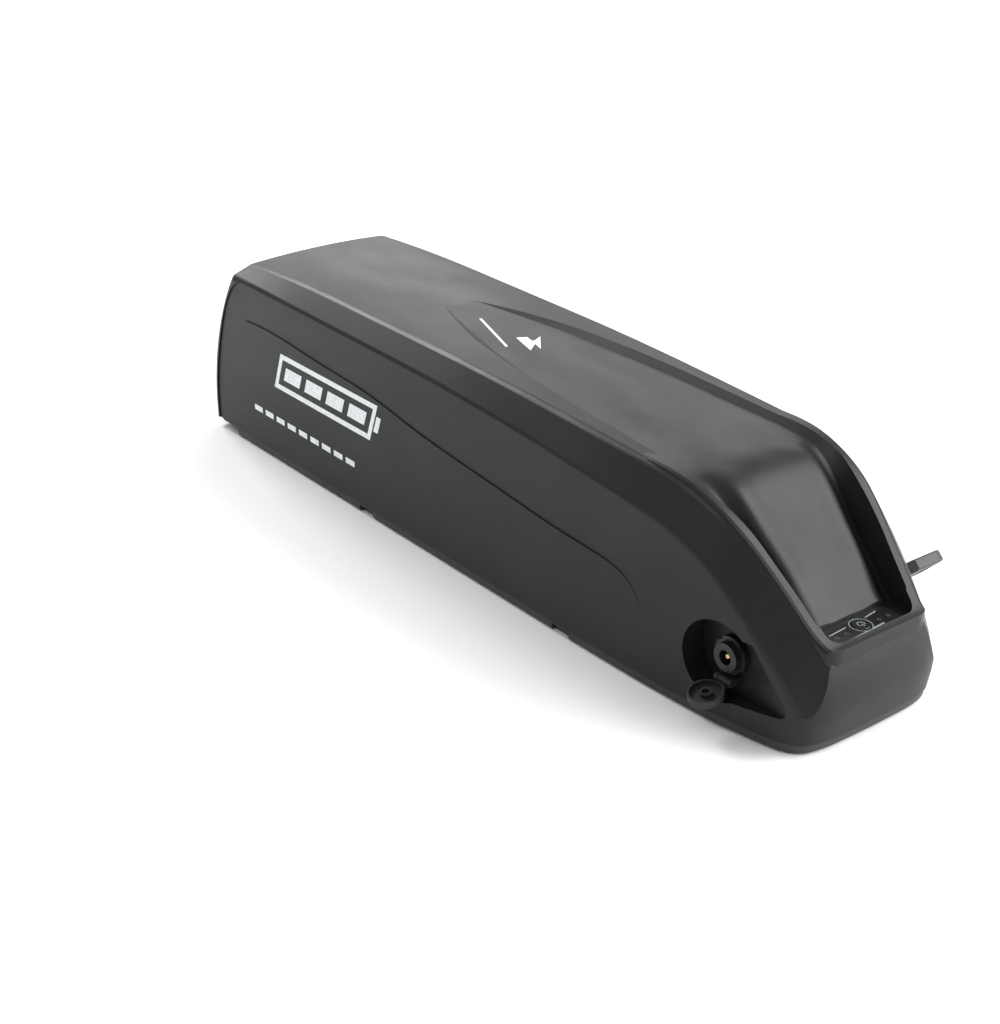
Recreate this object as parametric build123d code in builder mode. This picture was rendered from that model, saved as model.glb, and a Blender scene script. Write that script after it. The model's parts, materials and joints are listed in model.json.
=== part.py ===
from build123d import *
import math
import os

os.makedirs("parts", exist_ok=True)

# Battery pack for an e-bike down tube, in millimetres.
# Frame: +X runs along the pack to its handle end, -Y is the side with the charging port,
# +Z is up, and the origin is on the surface it lies on, under the middle of the casing.

# ---------------------------------------------------------------- driving dimensions
WALL = 2.6                 # casing wall
TRAY_WALL = 2.0            # wall under the handle tray
CROWN = 1.8                # rise of the top between its two ridges
NOSE_X = 185.0             # foremost point of the casing
REAR_X = -185.0            # rearmost point of the casing
SEAM_Z = 4.0               # joint between lower cover and upper shell
COVER_REAR_X = -165.0      # where the visible edge of the lower cover starts
EDGE_FILLET = 3.6          # ridges, shoulders and rear end

TRAY_FLOOR_Z = 36.5        # level floor under the display
LIP_FRONT_X = 182.8        # front face of the rim round the tray

PORT_X, PORT_Z = 147.0, 25.0
PORT_RADIUS = 15.5
PORT_FLOOR_Y = -33.0
LOCK_X, LOCK_Z = 149.0, 30.0
LOCK_FACE_Y = 42.6
LOCK_PAD = 5.8
BUTTON_X = 173.6

CELL_RADIUS, CELL_LENGTH = 9.2, 65.2
CELL_PITCH, ROW_PITCH = 19.0, 16.4
COLUMNS, ROWS = 13, 4
CELL_X, CELL_Z = -154.0, 20.0

RAIL_OPENING, RAIL_INSIDE = 25.0, 34.8
RAIL_LIP, RAIL_DEPTH = 2.2, 7.8
RAIL_END_X = 165.0
HAT_TOP_Z = 10.4
HOLDER_BOTTOM_Z = 10.3
CELL_END_X = CELL_X + (COLUMNS - 0.5) * CELL_PITCH

# Stations along the casing: x, wall half width, shoulder height, rim half width, rim height.
REAR_DROP = 0.0005          # how fast the top falls away behind x = -90
STATIONS = [
    (x, 45.0, 77.0 - x * 0.01, 36.0, 86.2 - x * 0.001 - REAR_DROP * min(0, x + 90) ** 2)
    for x in range(-195, -20, 25)
]
STATIONS += [
    (-20, 45.0, 77.2, 36.0, 86.2),
    (5, 45.0, 76.3, 36.0, 86.0),
    (30, 45.0, 75.1, 36.0, 85.4),
    (55, 45.0, 73.5, 36.0, 84.5),
    (80, 45.0, 71.5, 36.0, 83.4),
    (100, 44.7, 69.5, 35.9, 82.5),
    (117, 44.2, 67.2, 35.6, 80.9),
    (130, 43.5, 63.6, 34.8, 77.2),
    (142, 42.6, 57.6, 33.4, 71.2),
    (154, 41.1, 47.6, 31.0, 61.8),
    (166, 38.9, 35.0, 28.7, 50.6),
    (176, 36.2, 22.5, 26.7, 40.4),
    (188, 32.0, 7.0, 24.0, 27.5),
]

# Plan of the nose, from its side to the middle of its front, and how far it is set back with height.
NOSE_PLAN = [(150, 46.8), (160, 43.6), (168.5, 40.4), (176, 36.8), (181.6, 33.0), (184.2, 27.0)]
NOSE_PLAN += [(185.2, 18), (185.4, 9), (185.5, 0)]
NOSE_SETBACK = [(-4, 2.2), (6, 1.2), (20, 0.0), (34, 3.0), (60, 12.0), (100, 26.0)]

# Rim round the handle tray: x, half width, top height, depth of the band.
RIM = [
    (64, 32.0, 80.8, 3.0),
    (80, 34.2, 82.0, 3.0),
    (92, 35.4, 82.8, 3.0),
    (104, 35.8, 83.0, 3.0),
    (117, 35.6, 82.0, 3.0),
    (130, 34.8, 78.3, 3.0),
    (142, 33.4, 72.3, 3.0),
    (154, 31.0, 62.9, 3.0),
    (166, 28.7, 51.6, 3.0),
    (174, 27.2, 43.8, 3.6),
    (179, 25.8, 39.8, 5.0),
    (186, 24.4, 38.4, 6.0),
]

# Relief in the top, which turns into the handle tray: x, half width at its upper edge, height of
# that edge, half width of its floor, height of its floor, depth of the finger channels beside the
# tongue, half width of the tongue.
RELIEF = [
    (-115, 2.0, 93.2, 1.0, 91.9, 0.0, 0.5),
    (-80, 5.6, 90.6, 3.2, 89.7, 0.0, 1.8),
    (-46, 12.8, 88.6, 9.4, 87.6, 0.0, 5.4),
    (-10, 21.2, 87.4, 17.6, 85.7, 0.0, 11.0),
    (25, 26.4, 86.8, 23.0, 84.2, 0.0, 14.2),
    (60, 29.2, 85.6, 25.8, 82.8, 0.0, 17.0),
    (90, 30.4, 84.2, 27.2, 81.5, 0.0, 19.4),
    (108, 31.4, 83.4, 28.2, 80.8, 0.1, 21.2),
    (120, 31.8, 81.9, 28.4, 79.6, 0.8, 22.0),
    (130, 31.3, 78.4, 27.6, 75.6, 2.6, 22.0),
    (137, 29.9, 74.6, 26.6, 70.0, 4.2, 21.2),
    (147, 27.9, 68.6, 25.0, 60.4, 5.0, 19.6),
    (158, 26.0, 59.4, 23.8, 49.4, 4.4, 18.0),
    (166, 24.2, 51.8, 22.7, 40.2, 2.6, 17.2),
    (174, 22.2, 43.6, 21.4, 30.0, 1.0, 16.4),
]


def section(station, inset):
    """Cross-section of the casing at one station, moved in from the surface by inset."""
    x, wall, shoulder, rim, height = station
    side = wall - inset
    edge = shoulder - 0.7 * inset
    ridge = rim - 0.6 * inset
    top = height - inset
    with BuildSketch(Plane.YZ.offset(x)) as profile:
        with BuildLine():
            Polyline((ridge, top), (side, edge), (side, -2), (-side, -2), (-side, edge), (-ridge, top))
            ThreePointArc((-ridge, top), (0, top + CROWN), (ridge, top))
        make_face()
    return profile.sketch


def nose_form(inset):
    """Space behind the rounded front of the nose, which bulges a little at mid height."""
    with BuildPart() as form:
        for z, setback in NOSE_SETBACK:
            with BuildSketch(Plane.XY.offset(z)):
                with BuildLine():
                    outline = [(x - inset - setback, y - 0.6 * inset) for x, y in NOSE_PLAN]
                    mirrored = [(x, -y) for x, y in reversed(outline[:-1])]
                    Spline(*outline, *mirrored)
                    Polyline(mirrored[-1], (-215, -62), (-215, 62), outline[0])
                make_face()
        loft()
    return form.part


def casing_form(inset):
    """Solid form of the casing, moved in from its surface by inset."""
    with BuildPart() as form:
        for station in STATIONS:
            add(section(station, inset))
        loft()
        rear = REAR_X + inset
        with BuildSketch(Plane.XZ.offset(-60)):
            with BuildLine():
                Spline((rear + 1.2, -3), (rear, 22), (rear + 6.5, 52), (rear + 17.5, 75), (rear + 31, 92 - inset))
                Polyline((rear + 31, 92 - inset), (rear + 31, 130), (230, 130), (230, -3), (rear + 1.2, -3))
            make_face()
        extrude(amount=120, mode=Mode.INTERSECT)
        if inset == 0:
            rear_edges = edges().filter_by(lambda edge: edge.center().X < -140 and edge.center().Z > 0)
            ridges = edges().filter_by(lambda edge: abs(edge.center().X) < 60 and edge.center().Z > 60)
            fillet(rear_edges + ridges, EDGE_FILLET)
        add(nose_form(inset), mode=Mode.INTERSECT)
    return form.part


def rim_form():
    """Raised band that frames the handle tray and closes in front of the display."""
    with BuildPart() as form:
        for x, half, top, band in RIM:
            with BuildSketch(Plane.YZ.offset(x)):
                with BuildLine():
                    outer = [(half, top - band), (half, top - 1.4), (half - 0.5, top - 0.4), (half - 1.6, top)]
                    Polyline(*outer, *[(-y, z) for y, z in reversed(outer)], close=True)
                make_face()
        loft()
        with BuildSketch(Plane.XY):
            front = [(140, -50), (LIP_FRONT_X, -25), (LIP_FRONT_X, 25), (140, 50)]
            Polygon((60, -50), *front, (60, 50), align=None)
            fillet(vertices().group_by(Axis.X)[-1], 10)
        extrude(amount=100, mode=Mode.INTERSECT)
    return form.part


def relief_form(grow):
    """Space of the relief and the handle tray, grown outwards and downwards by grow."""
    with BuildPart() as form:
        for x, upper, edge, lower, floor, depth, tongue in RELIEF:
            w = lower + grow
            u = upper + grow
            z = floor - grow
            rise = CROWN * (lower / 36) ** 2
            outer = [(w, z - depth), ((w + tongue) / 2, z - depth), (tongue, z)]
            inner = [(tongue / 2, z + 0.75 * rise), (0, z + rise), (-tongue / 2, z + 0.75 * rise)]
            with BuildSketch(Plane.YZ.offset(x)):
                with BuildLine():
                    Spline(*outer, *inner, *[(-y, height) for y, height in reversed(outer)])
                    Polyline((-w, z - depth), (-u, edge), (-u - 0.5, 110), (u + 0.5, 110), (u, edge), (w, z - depth))
                make_face()
        loft()
        with BuildSketch(Plane.XY.offset(TRAY_FLOOR_Z - grow)):
            Rectangle(400, 120)
        extrude(amount=120, mode=Mode.INTERSECT)
    return form.part


def floor_form(grow):
    """Level floor at the foot of the tray, where the display lies."""
    with BuildPart() as form:
        with BuildSketch(Plane.XY.offset(TRAY_FLOOR_Z - grow)):
            Polygon((168.3, -21.7), (180, -20.8), (180, 20.8), (168.3, 21.7), align=None)
            fillet(vertices().group_by(Axis.X)[-1], 4.5)
            offset(amount=grow, kind=Kind.ARC)
        extrude(amount=16, taper=-6)
    return form.part


def tray_forms(grow):
    """Everything that is open above the tray, piece by piece."""
    return [relief_form(grow), floor_form(grow)]


def side_plane(y):
    """Sketch plane facing the port side, where local x is X and local y is Z."""
    return Plane.XZ.offset(-y)


def slab(form, bottom, top, rear):
    """Layer of a form between two heights, ahead of rear."""
    with BuildPart() as layer:
        add(form)
        with BuildSketch(Plane.XY.offset(bottom)):
            with Locations((rear + 200, 0)):
                Rectangle(400, 200)
        extrude(amount=top - bottom, mode=Mode.INTERSECT)
    return layer.part


def tube(points, bend, diameter):
    """Round cable along straight runs joined by arcs."""
    with BuildPart() as cable:
        with BuildLine() as route:
            FilletPolyline(*points, radius=bend)
        with BuildSketch(Plane(route.line @ 0, z_dir=route.line % 0)):
            Circle(diameter / 2)
        sweep()
    return cable.part


def finish(part, name):
    """Names a finished piece and writes it."""
    part.label = name
    export_step(part, "parts/" + name + ".step")


# ---------------------------------------------------------------- casing
outer_form = casing_form(0)
inner_form = casing_form(WALL)

SCREW_X = (-140, -60, 20, 100)
SCREW_Y = 39.2
NOSE_SCREWS = [(177.2, -24), (177.2, 24)]
SCREWS = [(x, side * SCREW_Y) for x in SCREW_X for side in (-1, 1)] + NOSE_SCREWS
BOSS_RADIUS, PILOT_RADIUS = 3.6, 1.5
BOSS_TOP = 17.0

# Field on each side wall that is set back under the shoulder, and the panel that stands proud in it.
FIELD_REAR = [(-180.2, -4), (-181.2, 22), (-175, 51), (-166.5, 70), (-159.5, 76.6), (-152, 77.9)]
FIELD_TOP = [(-120, 77.8), (-60, 77.2), (-20, 76.7), (5, 75.8), (30, 74.6), (55, 73.0), (80, 71.0), (100, 69.0)]
PANEL = [(-178.8, -4), (-175.5, 14), (-169.5, 32), (-164.8, 46), (-159.5, 56.2), (-153, 60.6)]
PANEL_TOP = [(-132, 61.2), (-93, 58.8), (-54, 56.4), (-30, 52.8), (31, 46.5)]
PANEL_FRONT = [(67, 43.4), (88, 42.4), (101, 39.8), (108, 34.5), (113, 26), (117, 14), (118, -4)]
FIELD_DEPTH = 0.6


def port_scoop():
    """Three-cornered scoop ahead of the charging port, deep at the port and shallow at its tip."""
    with BuildPart() as form:
        with BuildSketch(side_plane(-30)):
            Polygon((146, 10.6), (178, 13.5), (161, 37), (146, 37), align=None)
            fillet(vertices().group_by(Axis.X)[-1], 3)
        extrude(amount=40)
        with BuildSketch(Plane.XY):
            Polygon((140, -70), (190, -70), (181, -36.6), (152, -33.4), (140, -33.4), align=None)
        extrude(amount=60, mode=Mode.INTERSECT)
    return form.part


scoop = port_scoop()

with BuildPart() as cavity:
    add(inner_form)
    for form in tray_forms(TRAY_WALL):
        add(form, mode=Mode.SUBTRACT)
    # walls behind the port and round the lock
    with BuildSketch(side_plane(PORT_FLOOR_Y + 2.4)):
        with Locations((PORT_X, PORT_Z)):
            Circle(PORT_RADIUS + 2.4)
        Polygon((144, 8), (184, 8), (184, 18), (163, 40), (144, 40), align=None)
    extrude(amount=40, mode=Mode.SUBTRACT)
    with BuildSketch(side_plane(LOCK_FACE_Y)):
        with Locations((LOCK_X, LOCK_Z)):
            Circle(13)
    extrude(amount=LOCK_PAD, mode=Mode.SUBTRACT)
    # screw posts
    with BuildSketch(Plane.XY.offset(SEAM_Z - 10)):
        with Locations(*SCREWS):
            Circle(BOSS_RADIUS)
    extrude(amount=BOSS_TOP - SEAM_Z + 10, mode=Mode.SUBTRACT)

with BuildPart() as upper_shell:
    add(outer_form)
    add(rim_form())
    for form in tray_forms(0):
        add(form, mode=Mode.SUBTRACT)
    add(cavity.part, mode=Mode.SUBTRACT)
    # flat foot of the shell
    with BuildSketch(Plane.XY.offset(-5)):
        Rectangle(400, 200)
    extrude(amount=5 + SEAM_Z, mode=Mode.SUBTRACT)
    # charging port pocket and the hole for its socket
    with BuildSketch(side_plane(PORT_FLOOR_Y)):
        with Locations((PORT_X, PORT_Z)):
            Circle(PORT_RADIUS)
    extrude(amount=30, mode=Mode.SUBTRACT)
    add(scoop, mode=Mode.SUBTRACT)
    with BuildSketch(side_plane(PORT_FLOOR_Y + 10)):
        with Locations((PORT_X, PORT_Z)):
            Circle(6.1)
    extrude(amount=20, mode=Mode.SUBTRACT)
    # flat pad and hole for the lock
    with BuildSketch(side_plane(LOCK_FACE_Y)):
        with Locations((LOCK_X, LOCK_Z)):
            Circle(12)
    extrude(amount=5)
    with BuildSketch(side_plane(LOCK_FACE_Y)):
        with Locations((LOCK_X, LOCK_Z)):
            Circle(12)
    extrude(amount=-6, mode=Mode.SUBTRACT)
    with BuildSketch(side_plane(LOCK_FACE_Y + 5)):
        with Locations((LOCK_X, LOCK_Z)):
            Circle(8.6)
    extrude(amount=20, mode=Mode.SUBTRACT)
    # window under the display
    with BuildSketch(Plane.XY.offset(TRAY_FLOOR_Z - 6)):
        with Locations((BUTTON_X + 0.5, 0)):
            RectangleRounded(9, 30, 1.5)
    extrude(amount=12, mode=Mode.SUBTRACT)
    # doorway for the terminals of the cradle
    with BuildSketch(Plane.YZ.offset(REAR_X - 5)):
        with Locations((0, 12)):
            Rectangle(44, 24)
    extrude(amount=20, mode=Mode.SUBTRACT)
    # side fields, each with its raised panel
    for side in (-1, 1):
        with BuildSketch(side_plane(side * 46)):
            with BuildLine():
                Spline(*FIELD_REAR)
                Polyline(FIELD_REAR[-1], *FIELD_TOP, (130, 60), (130, -4), FIELD_REAR[0])
            make_face()
            with BuildLine():
                Spline(*PANEL)
                Spline(PANEL[-1], *PANEL_TOP, *PANEL_FRONT)
                Line(PANEL_FRONT[-1], PANEL[0])
            make_face(mode=Mode.SUBTRACT)
        extrude(amount=side * (1 + FIELD_DEPTH), mode=Mode.SUBTRACT)
    # pilot holes for the cover screws
    with BuildSketch(Plane.XY.offset(SEAM_Z)):
        with Locations(*SCREWS):
            Circle(PILOT_RADIUS)
    extrude(amount=BOSS_TOP - SEAM_Z - 2, mode=Mode.SUBTRACT)
finish(upper_shell.part, "upper_shell")

# Lower cover: visible edge, inner upstand, slide rail along its middle.
UPSTAND_TOP = 5.4
UPSTAND_INSET = WALL + 1.4
COVER_SETBACK = 0.4
COVER_CHAMFER = 0.8
NOTCH_X = (-60.0, 68.0)
cover_edge = slab(casing_form(COVER_SETBACK), 0, SEAM_Z, COVER_REAR_X)
cover_core = slab(casing_form(WALL + 0.1), SEAM_Z, UPSTAND_TOP, COVER_REAR_X - 16.5)
BOLT_X, BOLT_Y = 152.0, 9.0

with BuildPart() as lower_cover:
    add(cover_edge)
    foot_edges = edges().group_by(Axis.Z)[0].filter_by(lambda edge: edge.center().X > COVER_REAR_X + 1)
    chamfer(foot_edges, COVER_CHAMFER)
    # inner plate that carries on under the rear end
    with BuildSketch(Plane.XY.offset(SEAM_Z)):
        with Locations(((REAR_X + COVER_REAR_X) / 2 + 1.5, 0)):
            Rectangle(COVER_REAR_X - REAR_X - 3, 84)
    extrude(amount=UPSTAND_TOP - SEAM_Z)
    add(cover_core)
    # open inside of the upstand
    with BuildSketch(Plane.XY.offset(SEAM_Z - 1)):
        with Locations((-20, 0)):
            Rectangle(286, 81)
        with Locations((146, 0)):
            Rectangle(50, 64)
    extrude(amount=6, mode=Mode.SUBTRACT)
    # raised hat over the slide rail
    with BuildSketch(Plane.XY.offset(SEAM_Z - 1)):
        with Locations(((COVER_REAR_X + RAIL_END_X) / 2 + 1, 0)):
            Rectangle(RAIL_END_X - COVER_REAR_X + 4, RAIL_INSIDE + 5)
    extrude(amount=HAT_TOP_Z - SEAM_Z + 1)
    with BuildSketch(Plane.XY.offset(RAIL_LIP)):
        with Locations(((REAR_X - 5 + RAIL_END_X) / 2, 0)):
            Rectangle(RAIL_END_X - REAR_X + 5, RAIL_INSIDE)
    extrude(amount=RAIL_DEPTH - RAIL_LIP, mode=Mode.SUBTRACT)
    with BuildSketch(Plane.XY.offset(-1)):
        with Locations(((REAR_X - 5 + RAIL_END_X) / 2, 0)):
            Rectangle(RAIL_END_X - REAR_X + 5, RAIL_OPENING)
    extrude(amount=RAIL_DEPTH + 1, mode=Mode.SUBTRACT)
    # ribs that carry the cells
    with BuildSketch(Plane.XY.offset(SEAM_Z - 1)):
        with Locations(((CELL_X + CELL_END_X) / 2, -29), ((CELL_X + CELL_END_X) / 2, 29)):
            Rectangle(CELL_END_X - CELL_X, 4)
    extrude(amount=HOLDER_BOTTOM_Z - SEAM_Z + 1)
    # screw holes, sunk from below
    with BuildSketch(Plane.XY.offset(UPSTAND_TOP)):
        with Locations(*SCREWS):
            Circle(BOSS_RADIUS + 0.15)
    extrude(amount=SEAM_Z - UPSTAND_TOP, mode=Mode.SUBTRACT)
    with BuildSketch(Plane.XY.offset(-1)):
        with Locations(*SCREWS):
            Circle(1.7)
    extrude(amount=SEAM_Z + 1, mode=Mode.SUBTRACT)
    with BuildSketch(Plane.XY):
        with Locations(*SCREWS):
            Circle(3.4)
    extrude(amount=2.0, taper=45, mode=Mode.SUBTRACT)
    # window for the lock bolt and two notches in the visible edge on each side
    with BuildSketch(Plane.XY):
        with Locations((BOLT_X, BOLT_Y)):
            Rectangle(8.8, 5.8)
    extrude(amount=HAT_TOP_Z + 1, mode=Mode.SUBTRACT)
    with BuildSketch(Plane.XY.offset(-1)):
        for x in NOTCH_X:
            with Locations((x, -45), (x, 45)):
                Rectangle(10, 5)
    extrude(amount=SEAM_Z, mode=Mode.SUBTRACT)
finish(lower_cover.part, "lower_cover")

# Seal on the upstand, which runs round the inner side of every screw post.
gasket_area = slab(casing_form(WALL + 0.2), UPSTAND_TOP, UPSTAND_TOP + 1.6, COVER_REAR_X - 14)
gasket_inside = slab(casing_form(UPSTAND_INSET + 0.4), UPSTAND_TOP - 1, UPSTAND_TOP + 3, COVER_REAR_X - 12.4)
with BuildPart() as cover_gasket:
    add(gasket_area)
    add(gasket_inside, mode=Mode.SUBTRACT)
    with BuildSketch(Plane.XY.offset(UPSTAND_TOP)):
        with Locations(*SCREWS):
            Circle(BOSS_RADIUS + 1.6)
    extrude(amount=1.6)
    add(gasket_area, mode=Mode.INTERSECT)
    with BuildSketch(Plane.XY.offset(UPSTAND_TOP - 1)):
        with Locations(*SCREWS):
            Circle(BOSS_RADIUS + 0.2)
    extrude(amount=4, mode=Mode.SUBTRACT)
finish(cover_gasket.part, "cover_gasket")

with BuildPart() as cover_screws:
    with BuildSketch(Plane.XY.offset(0.2)):
        with Locations(*SCREWS):
            Circle(3.1)
    extrude(amount=1.7, taper=45)
    with BuildSketch(Plane.XY.offset(0.2)):
        with Locations(*SCREWS):
            Circle(1.42)
    extrude(amount=12.5)
    with BuildSketch(Plane.XY.offset(0.2)):
        with Locations(*SCREWS):
            RegularPolygon(0.9, 6)
    extrude(amount=1.1, mode=Mode.SUBTRACT)
finish(cover_screws.part, "cover_screws")

# ---------------------------------------------------------------- cells
HOLDER_INNER_Y, HOLDER_OUTER_Y = 25.0, 33.6
CELL_HALF = CELL_LENGTH / 2
NICKEL = 0.2
CELL_TOP = CELL_Z + (ROWS - 1) * ROW_PITCH
HOLDER_OUTLINE = [
    (CELL_X - 10, HOLDER_BOTTOM_Z),
    (CELL_END_X + 10, HOLDER_BOTTOM_Z),
    (CELL_END_X + 10, CELL_TOP + 9.5),
    (CELL_X + 2, CELL_TOP + 9.5),
    (CELL_X - 10, CELL_TOP - 8),
]


def column(number):
    """Centres of the cells of one column, which is one parallel group."""
    x = CELL_X + number * CELL_PITCH
    return [(x + (row % 2) * CELL_PITCH / 2, CELL_Z + row * ROW_PITCH) for row in range(ROWS)]


all_cells = [centre for number in range(COLUMNS) for centre in column(number)]

for number in range(COLUMNS):
    with BuildPart() as cell_group:
        with BuildSketch(side_plane(CELL_HALF)):
            with Locations(*column(number)):
                Circle(CELL_RADIUS)
        extrude(amount=CELL_LENGTH)
        with BuildSketch(side_plane(-CELL_HALF + 1.6)):
            with Locations(*column(number)):
                Circle(CELL_RADIUS + 1)
                Circle(CELL_RADIUS - 0.5, mode=Mode.SUBTRACT)
        extrude(amount=0.8, mode=Mode.SUBTRACT)
    finish(cell_group.part, f"cell_group_{number + 1:02d}")

for side, name in ((-1, "cell_holder_left"), (1, "cell_holder_right")):
    with BuildPart() as cell_holder:
        with BuildSketch(side_plane(side * HOLDER_OUTER_Y)):
            Polygon(*HOLDER_OUTLINE, align=None)
        extrude(amount=side * (HOLDER_OUTER_Y - HOLDER_INNER_Y))
        with BuildSketch(side_plane(side * CELL_HALF)):
            with Locations(*all_cells):
                Circle(CELL_RADIUS + 0.1)
        extrude(amount=side * 10, mode=Mode.SUBTRACT)
        with BuildSketch(side_plane(side * (HOLDER_OUTER_Y + 1))):
            with Locations(*all_cells):
                Circle(6.6)
        extrude(amount=side * 5, mode=Mode.SUBTRACT)
    finish(cell_holder.part, name)

# Strips that join two neighbouring columns, with the single column at one end of each side.
for side, start, name in ((-1, 0, "nickel_strips_left"), (1, -1, "nickel_strips_right")):
    with BuildPart() as nickel:
        with BuildSketch(side_plane(side * (HOLDER_OUTER_Y + NICKEL))):
            for first in range(start, COLUMNS, 2):
                pair = [number for number in (first, first + 1) if 0 <= number < COLUMNS]
                left = column(pair[0])
                right = column(pair[-1])
                for (x1, z), (x2, _) in zip(left, right):
                    with Locations(((x1 + x2) / 2, z)):
                        Rectangle(x2 - x1 + 11, 10)
                middle = (left[0][0] + right[0][0]) / 2 + CELL_PITCH / 4
                with Locations((middle, (CELL_Z + CELL_TOP) / 2)):
                    Rectangle(9, CELL_TOP - CELL_Z)
        extrude(amount=side * NICKEL)
        # dimples pressed down on to the cell ends
        with BuildSketch(side_plane(side * HOLDER_OUTER_Y)):
            with Locations(*all_cells):
                Circle(3)
        extrude(amount=side * (HOLDER_OUTER_Y - CELL_HALF))
    finish(nickel.part, name)

SHEET_Y = HOLDER_OUTER_Y + NICKEL + 0.1
for side, name in ((-1, "insulation_left"), (1, "insulation_right")):
    with BuildPart() as insulation:
        with BuildSketch(side_plane(side * (SHEET_Y + 0.5))):
            Polygon(*HOLDER_OUTLINE, align=None)
        extrude(amount=side * 0.5)
    finish(insulation.part, name)

with BuildPart() as foam_pads:
    with BuildSketch(Plane.XY.offset(CELL_TOP + CELL_RADIUS + 0.1)):
        with Locations((-120, 0), (-85, 0)):
            Rectangle(24, 44)
    extrude(amount=5.2)
finish(foam_pads.part, "foam_pads")

# ---------------------------------------------------------------- battery management board
BOARD_X = CELL_END_X + 14
BOARD_BOTTOM, BOARD_TOP = 13.0, 70.0
BOARD_HALF = 30.0
board_front = Plane.YZ.offset(BOARD_X + 1.6)

with BuildPart() as bms_board:
    with BuildSketch(Plane.YZ.offset(BOARD_X)):
        with Locations((0, (BOARD_BOTTOM + BOARD_TOP) / 2)):
            Rectangle(2 * BOARD_HALF, BOARD_TOP - BOARD_BOTTOM)
            with GridLocations(2 * BOARD_HALF - 7, BOARD_TOP - BOARD_BOTTOM - 7, 2, 2):
                Circle(1.6, mode=Mode.SUBTRACT)
    extrude(amount=1.6)
finish(bms_board.part, "bms_board")

MOSFET_Z = 56.0
with BuildPart() as bms_mosfets:
    with BuildSketch(board_front):
        with Locations((0, MOSFET_Z)):
            with GridLocations(8.4, 1, 6, 1):
                Rectangle(6.6, 9)
    extrude(amount=2.4)
    with BuildSketch(board_front):
        with Locations((0, MOSFET_Z - 6.5)):
            with GridLocations(8.4, 1, 6, 1):
                Rectangle(4.4, 4)
    extrude(amount=0.6)
finish(bms_mosfets.part, "bms_mosfets")

with BuildPart() as bms_heat_spreader:
    with BuildSketch(Plane.YZ.offset(BOARD_X + 4.0)):
        with Locations((0, MOSFET_Z)):
            Rectangle(52, 12)
    extrude(amount=2.0)
    with BuildSketch(Plane.YZ.offset(BOARD_X + 6.0)):
        with Locations((0, MOSFET_Z)):
            with GridLocations(1, 3, 1, 4):
                Rectangle(52, 1.2)
    extrude(amount=2.5)
finish(bms_heat_spreader.part, "bms_heat_spreader")

with BuildPart() as bms_chips:
    with BuildSketch(board_front):
        with Locations((-2, 40)):
            Rectangle(10, 10)
        with Locations((-2, 27)):
            Rectangle(6, 5)
        with Locations((14, 40)):
            with GridLocations(4, 4, 3, 3):
                Rectangle(2.0, 1.2)
    extrude(amount=1.4)
finish(bms_chips.part, "bms_chips")

CONNECTOR_Y, CONNECTOR_Z = -20.0, 38.0
with BuildPart() as balance_connector:
    with BuildSketch(board_front):
        with Locations((CONNECTOR_Y, CONNECTOR_Z)):
            Rectangle(7, 16)
    extrude(amount=6)
    with BuildSketch(Plane.YZ.offset(BOARD_X + 7.6)):
        with Locations((CONNECTOR_Y, CONNECTOR_Z)):
            Rectangle(4.6, 14)
    extrude(amount=-4.4, mode=Mode.SUBTRACT)
finish(balance_connector.part, "balance_connector")

HARNESS_Y = -(SHEET_Y + 0.5 + 0.7)
with BuildPart() as balance_harness:
    with BuildSketch(Plane.XZ.offset(-HARNESS_Y)):
        with Locations(((CELL_X + BOARD_X) / 2 + 3, 66)):
            Rectangle(BOARD_X - CELL_X - 6, 14)
    extrude(amount=0.7, both=True)
    with BuildSketch(Plane.XZ.offset(-HARNESS_Y)):
        for number in range(COLUMNS):
            with Locations((CELL_X + 8 + number * CELL_PITCH, 56)):
                Rectangle(1.4, 8)
    extrude(amount=0.7, both=True)
finish(balance_harness.part, "balance_harness")

balance_lead = tube(
    [
        (BOARD_X, HARNESS_Y - 1.1, 66),
        (BOARD_X + 12.5, HARNESS_Y - 1.1, 66),
        (BOARD_X + 12.5, CONNECTOR_Y, CONNECTOR_Z),
        (BOARD_X + 3.2, CONNECTOR_Y, CONNECTOR_Z),
    ],
    4,
    3.6,
)
finish(balance_lead, "balance_lead")

BOARD_FIXINGS = [(y, z) for y in (-26.5, 26.5) for z in (BOARD_BOTTOM + 3.5, BOARD_TOP - 3.5)]
with BuildPart() as board_spacers:
    with BuildSketch(Plane.YZ.offset(CELL_END_X + 10)):
        with Locations(*BOARD_FIXINGS):
            Circle(3)
            Circle(1.3, mode=Mode.SUBTRACT)
    extrude(amount=BOARD_X - CELL_END_X - 10)
finish(board_spacers.part, "board_spacers")

with BuildPart() as board_screws:
    with BuildSketch(board_front):
        with Locations(*BOARD_FIXINGS):
            Circle(2.7)
    extrude(amount=1.8)
    with BuildSketch(board_front):
        with Locations(*BOARD_FIXINGS):
            Circle(1.25)
    extrude(amount=-5.4)
    with BuildSketch(Plane.YZ.offset(BOARD_X + 3.4)):
        with Locations(*BOARD_FIXINGS):
            Rectangle(3, 0.7)
            Rectangle(0.7, 3)
    extrude(amount=-1, mode=Mode.SUBTRACT)
finish(board_screws.part, "board_screws")

# ---------------------------------------------------------------- terminals and power leads
CONTACT_BOTTOM, CONTACT_TOP = 8.0, 23.6
CONTACT_YS = (-13.5, -4.5, 4.5, 13.5)
LEAD, LEAD_Y, LEAD_Z = 4.2, 38.4, 34.0
LEAD_X = -167.2
FUSE_X = -90.0

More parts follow.
